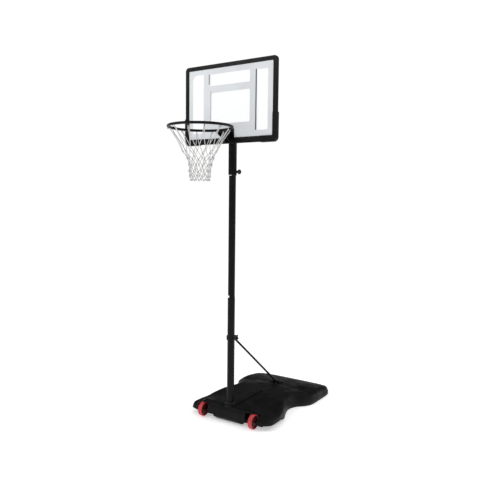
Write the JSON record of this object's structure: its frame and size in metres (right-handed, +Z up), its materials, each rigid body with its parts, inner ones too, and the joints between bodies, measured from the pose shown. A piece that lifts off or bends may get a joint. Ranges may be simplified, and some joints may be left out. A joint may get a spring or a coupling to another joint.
{
  "type": "portable basketball hoop",
  "caption": "Free-standing basketball hoop: clear backboard in a black frame, ring with white net, telescoping pole, braced ballast base on wheels.",
  "frame": {"origin": "on the floor under the pole's axis", "axes": "+Z up along the pole, the board faces -Y and the base runs back along +Y, X across the board"},
  "size_m": [0.88, 1.819, 2.9],
  "materials": {
    "tank_plastic": "pebbled black polyethylene",
    "cap_plastic": "moulded black plastic",
    "seal_rubber": "soft black rubber",
    "wheel_plastic": "red moulded plastic",
    "zinc": "zinc plated steel",
    "tube_paint": "satin black powder coat",
    "black_bolt": "black oxide steel",
    "glide_plastic": "dark nylon",
    "pad_nylon": "natural nylon",
    "frame_plastic": "black moulded plastic",
    "panel_clear": "clear plastic sheet",
    "panel_print": "pale grey printed film",
    "rim_paint": "gloss black powder coat",
    "net_cord": "white braided nylon cord"
  },
  "bodies": {
    "base": {"base_tank": "tank_plastic", "axle": "zinc", "axle_washers": "zinc", "axle_caps": "zinc", "pole_lower": "tube_paint", "pole_middle": "tube_paint", "joint_bolt": "black_bolt", "joint_nut": "black_bolt", "pole_socket_ring": "cap_plastic", "brace_clevis": "tube_paint", "brace_bolt": "black_bolt", "brace_nut": "black_bolt", "brace_strut": "tube_paint", "brace_pin": "black_bolt", "brace_pin_nut": "black_bolt", "brace_foot": "tube_paint", "foot_pin": "black_bolt", "foot_pin_nut": "black_bolt", "foot_screws": "black_bolt"},
    "upper": {"pole_upper": "tube_paint", "glide_lower": "glide_plastic", "glide_upper": "glide_plastic", "nut_boss": "tube_paint", "pole_saddle": "tube_paint", "board_frame": "frame_plastic", "board_guards": "frame_plastic", "board_panel": "panel_clear", "board_film": "panel_print", "rim_bracket": "rim_paint", "rim_ring": "rim_paint", "net_hooks": "rim_paint", "net": "net_cord", "rim_bolts": "black_bolt", "rim_nuts": "zinc", "rim_washers": "zinc", "rim_spacers": "cap_plastic"},
    "lock_pad": {"lock_pad": "pad_nylon"},
    "lock_knob": {"lock_screw": "zinc", "lock_knob": "cap_plastic"},
    "wheel_left": {"wheel_left": "wheel_plastic"},
    "wheel_right": {"wheel_right": "wheel_plastic"},
    "cap_lift": {"cap_seal": "seal_rubber"},
    "cap_turn": {"filler_cap": "cap_plastic"}
  },
  "joints": [
    {"name": "height_slide", "type": "slide", "parent": "base", "child": "upper", "axis": [0, 0, 1], "range_m": [-0.45, 0.05]},
    {"name": "lock_travel", "type": "slide", "parent": "upper", "child": "lock_pad", "axis": [1, 0, 0], "range_m": [0, 0.006]},
    {"name": "lock_turn", "type": "hinge", "parent": "lock_pad", "child": "lock_knob", "pos_m": [0.05, 0, 2.051], "axis": [1, 0, 0], "range_deg": [0, 1728.5]},
    {"name": "wheel_left_spin", "type": "hinge", "parent": "base", "child": "wheel_left", "pos_m": [-0.25, -0.037, 0.0605], "axis": [1, 0, 0], "continuous": true},
    {"name": "wheel_right_spin", "type": "hinge", "parent": "base", "child": "wheel_right", "pos_m": [0.25, -0.037, 0.0605], "axis": [1, 0, 0], "continuous": true},
    {"name": "cap_lift", "type": "slide", "parent": "base", "child": "cap_lift", "axis": [0, 0, 1], "range_m": [0, 0.018]},
    {"name": "cap_turn", "type": "hinge", "parent": "cap_lift", "child": "cap_turn", "pos_m": [0.25, 0.8, 0.1], "axis": [0, 0, 1], "range_deg": [0, 1620.5]}
  ],
  "couplings": [
    {"joint": "lock_turn", "follows": "lock_travel", "rad_per_m": 5026.5},
    {"joint": "cap_turn", "follows": "cap_lift", "rad_per_m": 1570.8}
  ]
}
